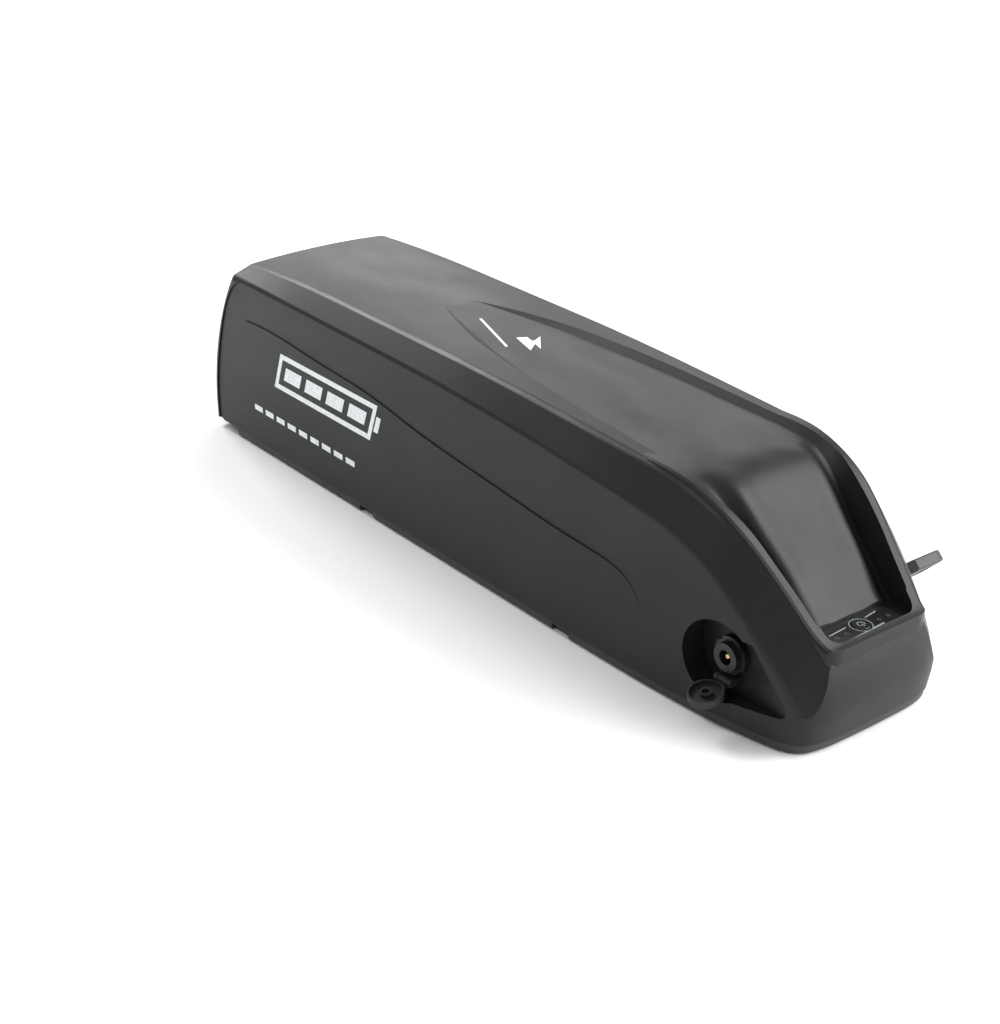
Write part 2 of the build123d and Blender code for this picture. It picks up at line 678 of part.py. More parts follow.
with BuildPart() as contact_housing:
    with BuildSketch(Plane.YZ.offset(-181)):
        with Locations((0, (CONTACT_BOTTOM + CONTACT_TOP) / 2)):
            RectangleRounded(43, CONTACT_TOP - CONTACT_BOTTOM, 2)
    extrude(amount=10)
    with BuildSketch(Plane.YZ.offset(-182)):
        for y in CONTACT_YS:
            with Locations((y, 15.5)):
                Rectangle(3, 9.2)
    extrude(amount=12, mode=Mode.SUBTRACT)
finish(contact_housing.part, "contact_housing")

with BuildPart() as contact_blades:
    for y in CONTACT_YS:
        with BuildSketch(side_plane(y + 1.5)):
            Polygon((-180, 11.2), (-168, 11.2), (-166, 13), (-166, 22), (-170, 22), (-170, 19.8), (-180, 19.8), align=None)
        extrude(amount=1.0)
finish(contact_blades.part, "contact_blades")

with BuildPart() as pack_fuse:
    with BuildSketch(side_plane(LEAD_Y + 2.6)):
        with Locations((FUSE_X, LEAD_Z)):
            RectangleRounded(26, 14, 2)
    extrude(amount=5.2)
    with BuildSketch(side_plane(LEAD_Y + 0.9)):
        with Locations((FUSE_X, LEAD_Z + 9)):
            Rectangle(14, 5)
    extrude(amount=1.8)
finish(pack_fuse.part, "pack_fuse")


def rear_run(side, last_x):
    """Power lead from a terminal up behind the cells and forwards along one side."""
    return tube(
        [
            (LEAD_X, side * 14.5, 22),
            (LEAD_X, side * 14.5, LEAD_Z),
            (LEAD_X, side * LEAD_Y, LEAD_Z),
            (last_x, side * LEAD_Y, LEAD_Z),
        ],
        5,
        LEAD,
    )


def front_run(side, first_x):
    """Power lead along one side and round on to the front of the board."""
    return tube(
        [
            (first_x, side * LEAD_Y, LEAD_Z),
            (BOARD_X + 10, side * LEAD_Y, LEAD_Z),
            (BOARD_X + 10, side * 24, 26),
            (BOARD_X + 1.6, side * 24, 26),
        ],
        5,
        LEAD,
    )


with BuildPart() as lead_positive:
    add(rear_run(1, FUSE_X - 13))
    add(front_run(1, FUSE_X + 13))
finish(lead_positive.part, "lead_positive")

with BuildPart() as lead_negative:
    add(rear_run(-1, 0))
    add(front_run(-1, 0))
finish(lead_negative.part, "lead_negative")

# ---------------------------------------------------------------- charging port
SOCKET_TIP_Y = -38.0
SOCKET_END_Y = -18.0
PORT_INNER_Y = PORT_FLOOR_Y + 2.4
NUT_RADIUS, NUT_THICK = 7.2, 2.6
PORT_CENTRE = (PORT_X, PORT_Z)

with BuildPart() as charge_socket:
    with BuildSketch(side_plane(SOCKET_END_Y)):
        with Locations(PORT_CENTRE):
            Circle(5.4)
    extrude(amount=SOCKET_END_Y - SOCKET_TIP_Y)
    with BuildSketch(side_plane(PORT_INNER_Y + 2)):
        with Locations(PORT_CENTRE):
            Circle(8)
    extrude(amount=2)
    with BuildSketch(side_plane(SOCKET_TIP_Y + 9.5)):
        with Locations(PORT_CENTRE):
            Circle(2.8)
    extrude(amount=10, mode=Mode.SUBTRACT)
finish(charge_socket.part, "charge_socket")

with BuildPart() as charge_socket_pin:
    with BuildSketch(side_plane(SOCKET_TIP_Y + 9.5)):
        with Locations(PORT_CENTRE):
            Circle(1.05)
    extrude(amount=8.3)
    fillet(edges().group_by(Axis.Y)[0], 0.4)
finish(charge_socket_pin.part, "charge_socket_pin")

with BuildPart() as charge_socket_nut:
    with BuildSketch(side_plane(PORT_FLOOR_Y)):
        with Locations(PORT_CENTRE):
            Circle(NUT_RADIUS)
            Circle(5.5, mode=Mode.SUBTRACT)
            with PolarLocations(NUT_RADIUS, 4, start_angle=45):
                Rectangle(1.2, 2, mode=Mode.SUBTRACT)
    extrude(amount=NUT_THICK)
finish(charge_socket_nut.part, "charge_socket_nut")

charge_lead = tube(
    [(PORT_X, SOCKET_END_Y, PORT_Z), (PORT_X, -8, PORT_Z), (118, -8, 21), (BOARD_X + 1.6, -8, 21)],
    5,
    3.2,
)
finish(charge_lead, "charge_lead")

# Cap of the port, made closed over the socket and then swung open about its hinge.
CAP_HINGE_Y = -37.4
CAP_HINGE_Z = PORT_Z - 9.0
CAP_OPEN = 102.0
CAP_RADIUS, CAP_BORE = 6.5, 5.8
HINGE_PIN, HINGE_HOLE, KNUCKLE = 0.65, 0.7, 1.5
cap_hinge = Axis((PORT_X, CAP_HINGE_Y, CAP_HINGE_Z), (1, 0, 0))

with BuildPart() as closed_cap:
    with BuildSketch(side_plane(-36.8)):
        with Locations(PORT_CENTRE):
            Circle(CAP_RADIUS)
    extrude(amount=3.1)
    fillet(edges().group_by(Axis.Y)[0], 0.8)
    with BuildSketch(Plane.YZ.offset(PORT_X - 2)):
        with Locations((CAP_HINGE_Y, CAP_HINGE_Z)):
            Circle(KNUCKLE)
        Polygon(
            (CAP_HINGE_Y, CAP_HINGE_Z),
            (-39.6, CAP_HINGE_Z),
            (-39.6, PORT_Z - 5),
            (-38.4, PORT_Z - 5),
            align=None,
        )
    extrude(amount=4)
    with BuildSketch(side_plane(-36)):
        with Locations(PORT_CENTRE):
            Circle(CAP_BORE)
    extrude(amount=2.4, mode=Mode.SUBTRACT)
    # plug that fills the socket bore
    with BuildSketch(side_plane(-38.4)):
        with Locations(PORT_CENTRE):
            Circle(2.2)
            Circle(1.5, mode=Mode.SUBTRACT)
    extrude(amount=-1.6)
    with BuildSketch(Plane.YZ.offset(PORT_X - 5)):
        with Locations((CAP_HINGE_Y, CAP_HINGE_Z)):
            Circle(HINGE_HOLE)
    extrude(amount=10, mode=Mode.SUBTRACT)

with BuildPart() as charge_cap:
    add(closed_cap.part.rotate(cap_hinge, CAP_OPEN))
finish(charge_cap.part, "charge_cap")

with BuildPart() as cap_anchor:
    with BuildSketch(Plane.YZ.offset(PORT_X - 3.8)):
        with Locations((CAP_HINGE_Y, CAP_HINGE_Z)):
            Circle(KNUCKLE)
        with Locations(((CAP_HINGE_Y + PORT_FLOOR_Y) / 2, CAP_HINGE_Z - 0.25)):
            Rectangle(PORT_FLOOR_Y - CAP_HINGE_Y, 2.5)
    extrude(amount=7.6)
    with BuildSketch(Plane.YZ.offset(PORT_X - 2.3)):
        with Locations((CAP_HINGE_Y, CAP_HINGE_Z)):
            Rectangle(4, 8)
    extrude(amount=4.6, mode=Mode.SUBTRACT)
    with BuildSketch(Plane.YZ.offset(PORT_X - 3)):
        with Locations((CAP_HINGE_Y, CAP_HINGE_Z)):
            Circle(HINGE_PIN)
    extrude(amount=6)
finish(cap_anchor.part, "cap_anchor")

# ---------------------------------------------------------------- lock
LOCK_CENTRE = (LOCK_X, LOCK_Z)
LOCK_REAR_Y = 12.0
LOCK_FRONT_Y = LOCK_FACE_Y + 1.5
PLUG_RADIUS, PLUG_BORE = 6.0, 6.05
CRANK = 3.0
CRANK_PIN = 1.7

with BuildPart() as lock_housing:
    with BuildSketch(side_plane(LOCK_FRONT_Y)):
        with Locations(LOCK_CENTRE):
            Circle(8.5)
    extrude(amount=LOCK_FRONT_Y - LOCK_REAR_Y)
    with BuildSketch(side_plane(LOCK_FRONT_Y)):
        with Locations(LOCK_CENTRE):
            Circle(9.6)
    extrude(amount=LOCK_FRONT_Y - LOCK_FACE_Y)
    fillet(edges().group_by(Axis.Y)[-1], 0.6)
    with BuildSketch(side_plane(LOCK_FRONT_Y + 1)):
        with Locations(LOCK_CENTRE):
            Circle(PLUG_BORE)
    extrude(amount=40, mode=Mode.SUBTRACT)
finish(lock_housing.part, "lock_housing")

with BuildPart() as lock_nut:
    with BuildSketch(side_plane(LOCK_FACE_Y - LOCK_PAD)):
        with Locations(LOCK_CENTRE):
            RegularPolygon(11.5, 6)
            Circle(8.5, mode=Mode.SUBTRACT)
    extrude(amount=2.8)
finish(lock_nut.part, "lock_nut")

# Lock plug with its keyway and the crank pin that lifts the bolt.
with BuildPart() as lock_cylinder:
    with BuildSketch(side_plane(LOCK_FRONT_Y - 0.1)):
        with Locations(LOCK_CENTRE):
            Circle(PLUG_RADIUS)
    extrude(amount=LOCK_FRONT_Y - LOCK_REAR_Y - 1.1)
    with BuildSketch(side_plane(LOCK_FRONT_Y)):
        with Locations(LOCK_CENTRE):
            Rectangle(8.2, 2.4, rotation=45)
    extrude(amount=24.5, mode=Mode.SUBTRACT)
    with BuildSketch(side_plane(LOCK_REAR_Y + 1)):
        with Locations((LOCK_X + CRANK, LOCK_Z - CRANK)):
            Circle(CRANK_PIN)
    extrude(amount=7)
finish(lock_cylinder.part, "lock_cylinder")

with BuildPart() as lock_bolt:
    with BuildSketch(side_plane(BOLT_Y + 2.5)):
        with Locations((BOLT_X, LOCK_Z - 2.5)):
            RectangleRounded(11, 11, 1)
        with Locations((BOLT_X, 13)):
            Rectangle(8, 22)
    extrude(amount=5)
    with BuildSketch(side_plane(BOLT_Y + 4)):
        with Locations((BOLT_X + 0.6, LOCK_Z - CRANK)):
            SlotOverall(6.6, 4.3)
    extrude(amount=8, mode=Mode.SUBTRACT)
    # lead-in at the tip
    chamfer(edges().filter_by(Axis.Y).group_by(Axis.Z)[0], 1.2)
finish(lock_bolt.part, "lock_bolt")

with BuildPart() as bolt_guide:
    with BuildSketch(Plane.XY.offset(HAT_TOP_Z)):
        with Locations((BOLT_X, BOLT_Y)):
            Rectangle(14, 9)
            Rectangle(8.2, 5.2, mode=Mode.SUBTRACT)
    extrude(amount=8)
finish(bolt_guide.part, "bolt_guide")

KEY_TIP_Y, KEY_SHOULDER_Y, KEY_END_Y = 22.0, 46.0, 69.0
KEY_PLANE = Plane(origin=(LOCK_X, 0, LOCK_Z), x_dir=(1, 0, 1), z_dir=(-1, 0, 1))

with BuildPart() as key_blade:
    with BuildSketch(KEY_PLANE):
        Polygon(
            (-3.7, KEY_TIP_Y + 2),
            (-2.2, KEY_TIP_Y),
            (2.2, KEY_TIP_Y),
            (3.7, KEY_TIP_Y + 2),
            (3.7, KEY_SHOULDER_Y),
            (-3.7, KEY_SHOULDER_Y),
            align=None,
        )
        for cut in range(5):
            with Locations((3.7, KEY_TIP_Y + 4 + 3.4 * cut)):
                Rectangle(1.2 + 0.9 * (cut % 3), 1.4, rotation=45, mode=Mode.SUBTRACT)
    extrude(amount=1.0, both=True)
finish(key_blade.part, "key_blade")

with BuildPart() as key_bow:
    with BuildSketch(KEY_PLANE):
        Polygon(
            (-4.6, KEY_SHOULDER_Y),
            (4.6, KEY_SHOULDER_Y),
            (9, KEY_SHOULDER_Y + 6),
            (9, KEY_END_Y),
            (-9, KEY_END_Y),
            (-9, KEY_SHOULDER_Y + 6),
            align=None,
        )
        fillet(vertices().group_by(Axis.Y)[-1], 6)
        with Locations((0, KEY_END_Y - 7)):
            SlotOverall(9, 4, mode=Mode.SUBTRACT)
    extrude(amount=2.25, both=True)
    fillet(edges().filter_by(lambda edge: edge.center().Y > KEY_SHOULDER_Y + 7 and edge.length > 8), 0.9)
finish(key_bow.part, "key_bow")

# ---------------------------------------------------------------- display
OVERLAY_THICK = 0.6
DISPLAY_BOARD_Z = 30.0
BUTTON_RADIUS, BUTTON_TRAVEL = 3.5, 0.5
LED_SPOTS = [(BUTTON_X + 1.6, y) for y in (-13.4, -7.6, 6.4, 12.2)]

with BuildPart() as display_overlay:
    with BuildSketch(Plane.XY.offset(TRAY_FLOOR_Z)):
        with Locations((BUTTON_X + 0.4, 0)):
            RectangleRounded(11.2, 32.4, 3)
        with Locations((BUTTON_X, 0)):
            Circle(BUTTON_RADIUS + 0.3, mode=Mode.SUBTRACT)
    extrude(amount=OVERLAY_THICK)
finish(display_overlay.part, "display_overlay")

with BuildPart() as display_board:
    with BuildSketch(Plane.XY.offset(DISPLAY_BOARD_Z)):
        with Locations((172, 0)):
            RectangleRounded(12, 36, 1)
    extrude(amount=1.2)
finish(display_board.part, "display_board")

with BuildPart() as display_spacers:
    with BuildSketch(Plane.XY.offset(DISPLAY_BOARD_Z + 1.2)):
        with Locations((175, 0)):
            with GridLocations(3.6, 33.4, 2, 2):
                Circle(1.1)
    extrude(amount=TRAY_FLOOR_Z - TRAY_WALL - DISPLAY_BOARD_Z - 1.2)
finish(display_spacers.part, "display_spacers")

with BuildPart() as display_leds:
    with BuildSketch(Plane.XY.offset(DISPLAY_BOARD_Z + 1.2)):
        with Locations(*LED_SPOTS):
            Rectangle(2, 1.2)
    extrude(amount=1.1)
finish(display_leds.part, "display_leds")

with BuildPart() as button_switch:
    with BuildSketch(Plane.XY.offset(DISPLAY_BOARD_Z + 1.2)):
        with Locations((BUTTON_X, 0)):
            Rectangle(5, 5)
    extrude(amount=1.6)
    with BuildSketch(Plane.XY.offset(DISPLAY_BOARD_Z + 2.8)):
        with Locations((BUTTON_X, 0)):
            Circle(1.5)
    extrude(amount=1.9)
finish(button_switch.part, "button_switch")

with BuildPart() as display_button:
    with BuildSketch(Plane.XY.offset(TRAY_FLOOR_Z - 1.0)):
        with Locations((BUTTON_X, 0)):
            Circle(BUTTON_RADIUS)
    extrude(amount=2.0)
    fillet(edges().group_by(Axis.Z)[-1], 0.4)
finish(display_button.part, "display_button")

display_cable = tube(
    [(166, 4, DISPLAY_BOARD_Z + 0.7), (150, 4, DISPLAY_BOARD_Z + 0.7), (112, 8, 25), (BOARD_X + 1.6, 8, 25)],
    6,
    2.4,
)
finish(display_cable, "display_cable")
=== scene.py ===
import json
import math

import bmesh
import bpy
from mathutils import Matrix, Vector
from mathutils.bvhtree import BVHTree


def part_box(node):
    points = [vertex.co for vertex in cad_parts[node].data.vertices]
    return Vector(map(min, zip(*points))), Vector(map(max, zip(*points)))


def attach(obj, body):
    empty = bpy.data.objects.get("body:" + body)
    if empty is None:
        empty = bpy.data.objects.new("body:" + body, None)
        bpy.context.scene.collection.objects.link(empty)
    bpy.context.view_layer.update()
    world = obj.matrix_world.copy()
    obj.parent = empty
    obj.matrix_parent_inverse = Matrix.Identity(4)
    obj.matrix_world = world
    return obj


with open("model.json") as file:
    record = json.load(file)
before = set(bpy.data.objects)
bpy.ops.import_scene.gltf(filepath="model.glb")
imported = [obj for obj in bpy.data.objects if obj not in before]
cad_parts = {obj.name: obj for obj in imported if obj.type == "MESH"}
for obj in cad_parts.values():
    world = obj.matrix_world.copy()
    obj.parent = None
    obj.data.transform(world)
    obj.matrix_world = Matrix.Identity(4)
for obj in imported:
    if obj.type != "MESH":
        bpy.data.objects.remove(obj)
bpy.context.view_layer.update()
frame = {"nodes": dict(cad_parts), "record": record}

nodes = frame["nodes"]
scene = bpy.context.scene


# ---------------------------------------------------------------- camera
CAMERA_PLACE = (0.5133, -0.4358, 0.3430)
CAMERA_TURN = (63.785, -0.869, 51.395)  # degrees about X, Y and Z
SENSOR_WIDTH = 36  # mm
LENS = 63.28  # mm
NEAREST_SEEN = 0.01


def add_camera():
    data = bpy.data.cameras.new("camera")
    data.sensor_width = SENSOR_WIDTH
    data.lens = LENS
    data.clip_start = NEAREST_SEEN
    camera = bpy.data.objects.new("camera", data)
    camera.location = CAMERA_PLACE
    camera.rotation_euler = [math.radians(angle) for angle in CAMERA_TURN]
    scene.collection.objects.link(camera)
    scene.camera = camera


# ---------------------------------------------------------------- materials
class Shader:
    """Node tree of one material, with a short way to add and join nodes."""

    def __init__(self, name):
        self.material = bpy.data.materials.new(name)
        self.material.use_nodes = True
        self.tree = self.material.node_tree
        self.base = self.tree.nodes["Principled BSDF"]
        self.coords = self.tree.nodes.new("ShaderNodeTexCoord")

    def add(self, kind, **values):
        """New node. A value sets the node's property of that name, or else its input."""
        node = self.tree.nodes.new("ShaderNode" + kind)
        for key, value in values.items():
            if hasattr(node, key):
                setattr(node, key, value)
            else:
                node.inputs[key].default_value = value
        return node

    def link(self, source, target):
        self.tree.links.new(source, target)

    def noise(self, scale, detail, roughness=0.5, stretch=(1, 1, 1)):
        """Cloudy noise with about scale patches per metre."""
        mapping = self.add("Mapping", Scale=stretch)
        self.link(self.coords.outputs["Object"], mapping.inputs["Vector"])
        node = self.add("TexNoise", Scale=scale, Detail=detail, Roughness=roughness)
        self.link(mapping.outputs["Vector"], node.inputs["Vector"])
        return node.outputs["Fac"]

    def span(self, source, low, high, new_low=0.0, new_high=1.0):
        """Maps low..high to new_low..new_high."""
        node = self.add("MapRange")
        limits = {"From Min": low, "From Max": high, "To Min": new_low, "To Max": new_high}
        for name, value in limits.items():
            node.inputs[name].default_value = value
        self.link(source, node.inputs["Value"])
        return node.outputs["Result"]

    def mix(self, factor, first, second):
        """Blends two colours, each a tuple or the output of a node."""
        node = self.add("Mix", data_type="RGBA")
        self.link(factor, node.inputs["Factor"])
        first_colour, second_colour, result = node.inputs[6], node.inputs[7], node.outputs[2]
        for socket, value in ((first_colour, first), (second_colour, second)):
            if isinstance(value, tuple):
                socket.default_value = (*value, 1)
            else:
                self.link(value, socket)
        return result

    def bump(self, height, strength, distance, under=None):
        node = self.add("Bump", Strength=strength, Distance=distance)
        self.link(height, node.inputs["Height"])
        if under is not None:
            self.link(under, node.inputs["Normal"])
        return node.outputs["Normal"]

    def edges(self, radius):
        """One along edges, nought on flat faces."""
        bevel = self.add("Bevel", samples=6, Radius=radius)
        geometry = self.add("NewGeometry")
        dot = self.add("VectorMath", operation="DOT_PRODUCT")
        self.link(bevel.outputs["Normal"], dot.inputs[0])
        self.link(geometry.outputs["Normal"], dot.inputs[1])
        return self.span(dot.outputs["Value"], 0.995, 0.90)


def scaled(colour, factor):
    return tuple(channel * factor for channel in colour)


def plastic(name, colour, roughness, grain=2600, depth=0.00004, specular=0.5):
    """Moulded plastic: spark-eroded grain of this many pits per metre and this depth, faint cloudy
    variation, edges rubbed paler."""
    variation, wear, edge_radius = 0.12, 0.35, 0.0007
    shader = Shader(name)
    cloud = shader.span(shader.noise(28, 4), 0.35, 0.65)
    body = shader.mix(cloud, scaled(colour, 1 - variation), scaled(colour, 1 + variation))
    paler = tuple(min(1, channel * (1 + 2 * wear) + 0.006 * wear) for channel in colour)
    rubbed = shader.add("Math", operation="MULTIPLY")
    shader.link(shader.edges(edge_radius), rubbed.inputs[0])
    shader.link(shader.span(shader.noise(160, 3), 0.35, 0.7, 0.2, 1.0), rubbed.inputs[1])
    shader.link(shader.mix(rubbed.outputs["Value"], body, paler), shader.base.inputs["Base Color"])
    smear = shader.noise(60, 4, stretch=(0.5, 1, 1))
    smear = shader.span(smear, 0.3, 0.7, roughness - 0.035, roughness + 0.035)
    shader.link(smear, shader.base.inputs["Roughness"])
    coarse = shader.bump(shader.noise(grain / 3.5, 2), 0.35, depth)
    fine = shader.bump(shader.noise(grain, 2, 0.6), 0.6, depth, coarse)
    shader.link(fine, shader.base.inputs["Normal"])
    shader.base.inputs["Specular IOR Level"].default_value = specular
    return shader.material


def metal(name, colour, roughness, stretch=(1, 1, 14)):
    """Plain machined metal with fine drawn lines and a little tarnish. The lines lie closest
    along the axis with the largest stretch."""
    shader = Shader(name)
    lines = shader.noise(900, 3, 0.6, stretch)
    stain = shader.span(shader.noise(90, 4), 0.35, 0.7)
    shader.link(shader.mix(stain, colour, scaled(colour, 0.78)), shader.base.inputs["Base Color"])
    smear = shader.span(lines, 0.3, 0.7, roughness - 0.06, roughness + 0.08)
    shader.link(smear, shader.base.inputs["Roughness"])
    shader.link(shader.bump(lines, 0.25, 0.00002), shader.base.inputs["Normal"])
    shader.base.inputs["Metallic"].default_value = 1.0
    return shader.material


def film(name, colour, roughness):
    """Smooth film with faint waviness."""
    shader = Shader(name)
    cloud = shader.span(shader.noise(120, 3), 0.3, 0.7)
    shader.link(shader.mix(cloud, colour, scaled(colour, 1.25)), shader.base.inputs["Base Color"])
    smear = shader.span(shader.noise(400, 3), 0.3, 0.7, roughness - 0.03, roughness + 0.05)
    shader.link(smear, shader.base.inputs["Roughness"])
    shader.link(shader.bump(shader.noise(300, 2), 0.12, 0.00003), shader.base.inputs["Normal"])
    return shader.material


def ink(name, colour, roughness):
    """Pad-printed ink, slightly thin in places."""
    shader = Shader(name)
    cover = shader.span(shader.noise(700, 4), 0.35, 0.65)
    shader.link(shader.mix(cover, scaled(colour, 0.86), colour), shader.base.inputs["Base Color"])
    smear = shader.span(shader.noise(900, 2), 0.3, 0.7, roughness - 0.05, roughness + 0.05)
    shader.link(smear, shader.base.inputs["Roughness"])
    shader.link(shader.bump(shader.noise(2600, 2), 0.3, 0.00003), shader.base.inputs["Normal"])
    return shader.material


CASING_BLACK = (0.0092, 0.0106, 0.0096)
SLOT_MATERIALS = {
    "casing_black": plastic("casing_black", CASING_BLACK, 0.40, specular=0.27),
    "seal_rubber": plastic("seal_rubber", (0.04, 0.04, 0.042), 0.75, 1400, 0.00006),
    "fastener_steel": metal("fastener_steel", (0.55, 0.55, 0.56), 0.32),
    "holder_plastic": plastic("holder_plastic", (0.035, 0.035, 0.038), 0.6),
    "cell_can": plastic("cell_can", (0.05, 0.20, 0.36), 0.28, 900, 0.00002),
    "nickel_strip": metal("nickel_strip", (0.66, 0.64, 0.60), 0.28),
    "fish_paper": plastic("fish_paper", (0.30, 0.36, 0.26), 0.8, 1100, 0.00008),
    "foam": plastic("foam", (0.06, 0.06, 0.065), 0.95, 900, 0.0002),
    "board_green": plastic("board_green", (0.012, 0.10, 0.04), 0.35, 1500, 0.00003),
    "chip_black": plastic("chip_black", (0.02, 0.02, 0.02), 0.55, 3200, 0.00002),
    "heat_aluminium": metal("heat_aluminium", (0.72, 0.73, 0.74), 0.36, (1, 12, 1)),
    "connector_white": plastic("connector_white", (0.62, 0.60, 0.54), 0.45),
    "harness_grey": plastic("harness_grey", (0.07, 0.07, 0.075), 0.5, 1400),
    "terminal_plastic": plastic("terminal_plastic", (0.02, 0.02, 0.021), 0.5),
    "contact_brass": metal("contact_brass", (0.78, 0.60, 0.30), 0.26),
    "fuse_blue": plastic("fuse_blue", (0.03, 0.09, 0.30), 0.25, 1500, 0.00002),
    "lead_red": plastic("lead_red", (0.35, 0.012, 0.012), 0.42, 1500),
    "lead_black": plastic("lead_black", (0.018, 0.018, 0.018), 0.45, 1500),
    "port_black": plastic("port_black", (0.008, 0.008, 0.0085), 0.34, 2200, 0.00002),
    "cap_rubber": plastic("cap_rubber", (0.014, 0.014, 0.0145), 0.6, 1800, 0.00005),
    "lock_metal": metal("lock_metal", (0.70, 0.70, 0.71), 0.22),
    "key_steel": metal("key_steel", (0.62, 0.61, 0.58), 0.24),
    "key_black": plastic("key_black", (0.030, 0.031, 0.033), 0.5, 2000, 0.00006),
    "display_gloss": film("display_gloss", (0.010, 0.0105, 0.0105), 0.30),
    "led_lens": plastic("led_lens", (0.60, 0.66, 0.64), 0.15, 900, 0.00001),
    "button_film": film("button_film", (0.011, 0.0115, 0.0115), 0.30),
}
# Lower cover colour: several times paler than the casing, a painted reflection of the white floor that
# lights its lower edge.
COVER_PAINTED_REFLECTION = plastic("cover_painted_reflection", (0.034, 0.036, 0.036), 0.42, specular=0.3)
PRINT_WHITE = ink("print_white", (0.86, 0.92, 0.93), 0.5)
PRINT_GREY = ink("print_grey", (0.36, 0.39, 0.40), 0.4)
PRINT_DIM = ink("print_dim", (0.09, 0.10, 0.10), 0.4)


def dress_nodes():
    """Gives every CAD node the finish of its slot, and the lower cover a paler plastic whose paleness is
    a painted reflection of the white floor on its lower edge.
    """
    for part in frame["record"]["subparts"]:
        mesh = nodes[part["node"]].data
        mesh.materials.clear()
        mesh.materials.append(SLOT_MATERIALS[part["material_slot"]])
    nodes["lower_cover"].data.materials[0] = COVER_PAINTED_REFLECTION


# ---------------------------------------------------------------- printed marks
CASING_LIFT = 0.00006  # how far ink stands out of the surface, and how far it reaches in
DISPLAY_LIFT = 0.00004
BESIDE, ABOVE = -0.2, 0.3  # start of the rays that find the casing, on its port side and over it
DISPLAY_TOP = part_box("display_overlay")[1].z
BUTTON_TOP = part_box("display_button")[1].z

shell_tree = BVHTree.FromObject(nodes["upper_shell"], bpy.context.evaluated_depsgraph_get())


def cast(start, direction):
    """Point where a ray meets the casing, and the surface's normal there."""
    hit, normal, _, _ = shell_tree.ray_cast(Vector(start), Vector(direction))
    return hit, normal


def on_side(x, z):
    return cast((x, BESIDE, z), (0, 1, 0))


def on_top(x, y):
    return cast((x, y, ABOVE), (0, 0, -1))


def on_display(x, y):
    return Vector((x, y, DISPLAY_TOP)), Vector((0, 0, 1))


def on_button(x, y):
    return Vector((x, y, BUTTON_TOP)), Vector((0, 0, 1))


def new_piece(name, bm, material):
    """Object made from a bmesh, which is freed."""
    mesh = bpy.data.meshes.new(name)
    bm.normal_update()
    bm.to_mesh(mesh)
    bm.free()
    mesh.materials.append(material)
    piece = bpy.data.objects.new(name, mesh)
    scene.collection.objects.link(piece)
    return piece


def divide(bm, longest):
    """Splits edges over this length, in three rounds, so that a mark can follow a curved surface."""
    for _ in range(3):
        edges = [edge for edge in bm.edges if edge.calc_length() > longest]
        if edges:
            bmesh.ops.subdivide_edges(bm, edges=edges, cuts=1, use_grid_fill=True)
    bmesh.ops.triangulate(bm, faces=bm.faces)


def printed(name, outlines, place, lift, material, body, longest=None):
    """Thin layer of ink. Each outline is a loop of flat points, and place turns a flat point into
    one on the surface, with the normal there."""
    bm = bmesh.new()
    for outline in outlines:
        bm.faces.new([bm.verts.new((x, y, 0)) for x, y in outline])
    if longest:
        divide(bm, longest)
    copied = bmesh.ops.extrude_face_region(bm, geom=list(bm.faces))["geom"]
    upper = {element for element in copied if isinstance(element, bmesh.types.BMVert)}
    for vert in bm.verts:
        point, normal = place(vert.co.x, vert.co.y)
        vert.co = point + normal * (lift if vert in upper else -lift)
    bmesh.ops.recalc_face_normals(bm, faces=bm.faces)
    piece = new_piece(name, bm, material)
    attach(piece, body)


def bar(x1, y1, x2, y2):
    return [(x1, y1), (x2, y1), (x2, y2), (x1, y2)]


def stroke(x, y1, y2, width, lean):
    """Bar from y1 to y2 that leans towards lower x."""
    return [(x, y1), (x + width, y1), (x + width - lean, y2), (x - lean, y2)]


def ring(x, y, radius, width, start=0, end=360, steps=40):
    """Loops of a flat ring or arc outside this radius, as short four-sided pieces."""
    def at(distance, step):
        angle = math.radians(start + (end - start) * step / steps)
        return x + distance * math.cos(angle), y + distance * math.sin(angle)

    outside = radius + width
    return [
        [at(radius, step), at(outside, step), at(outside, step + 1), at(radius, step + 1)]
        for step in range(steps)
    ]


def side_mark():
    """Generic sign of a charged battery: a slanted outline with four slanted cells, and a row of
    dashes below."""
    left, right, low, high = -0.130, -0.056, 0.0365, 0.0540
    line, lean = 0.0024, 0.006
    terminal_gap, terminal_reach, terminal_inset = 0.001, 0.004, 0.005
    cells, cell_start, cell_pitch, cell_width, cell_inset = 4, 0.006, 0.0165, 0.0125, 0.0055
    dashes, dash_start, dash_pitch, dash_width = 9, -0.148, 0.0092, 0.0066
    dash_low, dash_high = 0.0196, 0.0222

    def slant(x, z):
        return x + lean * (z - low) / (high - low), z

    def block(x1, x2, z1, z2):
        return [slant(x1, z1), slant(x2, z1), slant(x2, z2), slant(x1, z2)]

    loops = [
        block(left, right, low, low + line),
        block(left, right, high - line, high),
        block(left, left + line, low + line, high - line),
        block(right - line, right, low + line, high - line),
        block(right + terminal_gap, right + terminal_reach, low + terminal_inset, high - terminal_inset),
    ]
    for i in range(cells):
        x = left + cell_start + i * cell_pitch
        loops.append(block(x, x + cell_width, low + cell_inset, high - cell_inset))
    for i in range(dashes):
        x = dash_start + i * dash_pitch
        loops.append(bar(x, dash_low, x + dash_width, dash_high))
    printed("side_mark", loops, on_side, CASING_LIFT, PRINT_WHITE, "casing")


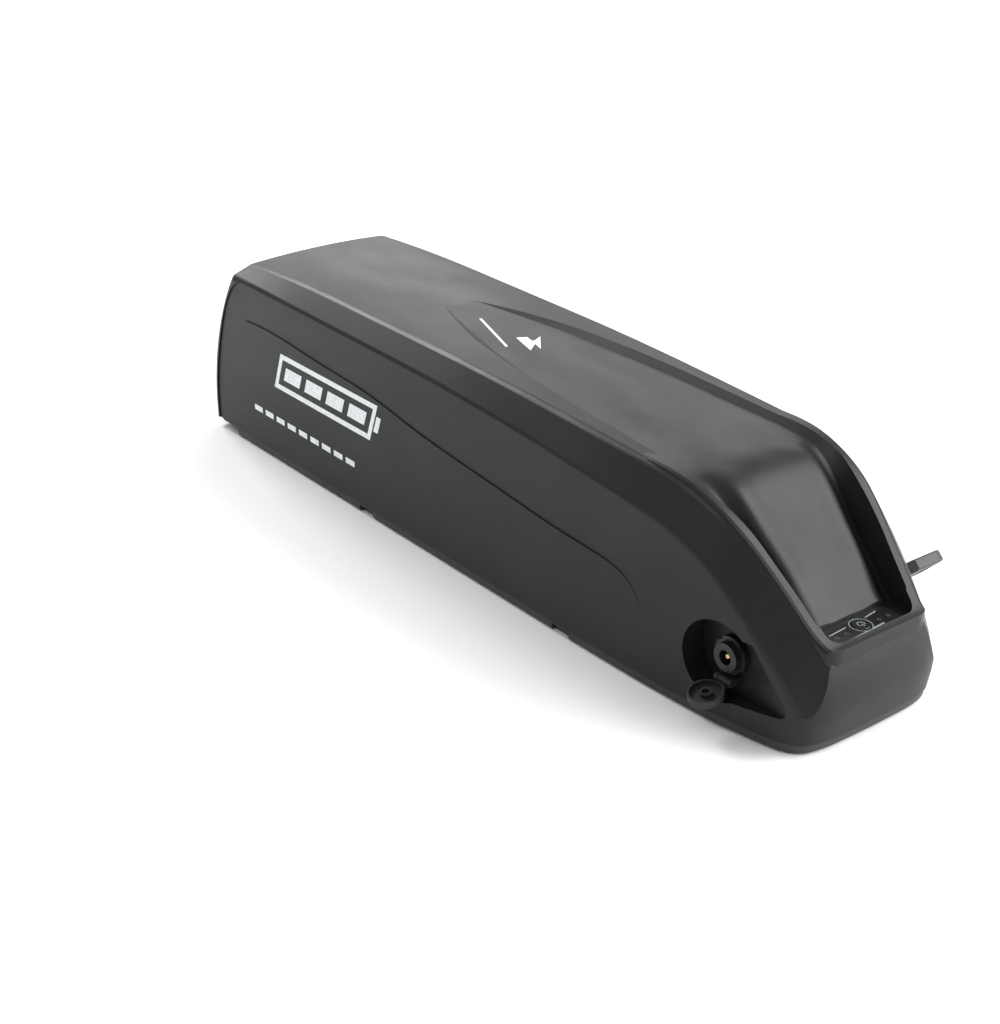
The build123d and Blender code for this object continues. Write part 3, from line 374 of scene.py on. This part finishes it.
def top_mark():
    """Small generic mark on the crown: a thin line beside a charging bolt, which is two pieces."""
    line = [(-0.0360, -0.0032), (-0.0080, -0.0118), (-0.0077, -0.0108), (-0.0357, -0.0022)]
    bolt = [
        [(-0.0120, -0.0030), (0.0010, -0.0062), (-0.0030, -0.0006), (-0.0100, 0.0011)],
        [(-0.0060, 0.0001), (0.0022, -0.0020), (-0.0080, 0.0062), (-0.0055, 0.0012)],
    ]
    printed("top_mark", [line, *bolt], on_top, CASING_LIFT, PRINT_WHITE, "casing", longest=0.004)


def display_marks():
    """Status lines, a ring round the button, four lamps and a power sign, without lettering."""
    line = 0.0003
    button_x, lamp_x = 0.1736, 0.1748
    status = [
        stroke(0.1781, -0.0100, 0.0077, 0.0008, 0.0011),
        stroke(0.1721, -0.0147, -0.0057, 0.0005, 0.0007),
        stroke(0.1707, 0.0050, 0.0115, 0.0005, 0.0008),
    ]
    status += ring(button_x, 0, 0.0040, line)
    printed("display_marks", status, on_display, DISPLAY_LIFT, PRINT_GREY, "casing")
    lamps = []
    for y in (-0.0134, -0.0086, 0.0080, 0.0128):
        lamps += ring(lamp_x, y, 0.0005, line, steps=20)
    printed("lamp_marks", lamps, on_display, DISPLAY_LIFT, PRINT_DIM, "casing")
    power = ring(button_x, 0, 0.0012, line, start=40, end=320, steps=30)
    power.append(bar(button_x, -line / 2, button_x + 0.0018, line / 2))
    printed("button_mark", power, on_button, DISPLAY_LIFT, PRINT_GREY, "display_button")


# ---------------------------------------------------------------- studio
FLOOR_HALF = 4
FLOOR_GAP = 0.0002  # keeps the floor clear of the faces that rest on it


def add_floor():
    shader = Shader("floor_white")
    cloud = shader.span(shader.noise(3, 2), 0.3, 0.7)
    tone = shader.mix(cloud, (0.90, 0.90, 0.90), (0.93, 0.93, 0.93))
    shader.link(tone, shader.base.inputs["Base Color"])
    shader.base.inputs["Roughness"].default_value = 0.7
    bm = bmesh.new()
    bmesh.ops.create_grid(bm, x_segments=1, y_segments=1, size=FLOOR_HALF)
    floor = new_piece("floor", bm, shader.material)
    floor.location.z = -FLOOR_GAP


def add_world():
    """Even white light from all round, and colours shown as they are."""
    world = bpy.data.worlds.new("studio")
    scene.world = world
    world.use_nodes = True
    background = world.node_tree.nodes["Background"]
    background.inputs["Color"].default_value = (1, 1, 1, 1)
    background.inputs["Strength"].default_value = 0.5
    scene.view_settings.view_transform = "Standard"
    scene.view_settings.look = "None"


def add_lamp(name, place, target, size, watts):
    """White rectangular lamp of this width and height, aimed at target."""
    data = bpy.data.lights.new(name, "AREA")
    data.shape = "RECTANGLE"
    data.size, data.size_y = size
    data.energy = watts
    lamp = bpy.data.objects.new(name, data)
    lamp.location = place
    lamp.rotation_euler = (Vector(target) - Vector(place)).to_track_quat("-Z", "Y").to_euler()
    scene.collection.objects.link(lamp)


def add_lamps():
    add_lamp("ridge", (-1.25, -0.05, 1.05), (0, 0, 0.05), (0.7, 0.3), 18)
    add_lamp("back", (-1.0, 1.1, 0.85), (0, 0, 0.05), (0.9, 0.5), 4)
    add_lamp("rear_low", (-1.5, 0.85, 0.55), (-0.1, 0, 0.08), (0.5, 0.35), 1.6)
    add_lamp("right_back", (0.7, 1.05, 1.3), (0.1, 0, 0.05), (1.2, 0.9), 24)
    add_lamp("right", (1.3, 0.9, 0.5), (0.15, 0, 0.03), (1.5, 0.9), 27)
    add_lamp("left_front", (0.05, -0.85, 1.05), (0.1, 0, 0.05), (0.5, 0.25), 2)


add_camera()
dress_nodes()
side_mark()
top_mark()
display_marks()
add_floor()
add_world()
add_lamps()
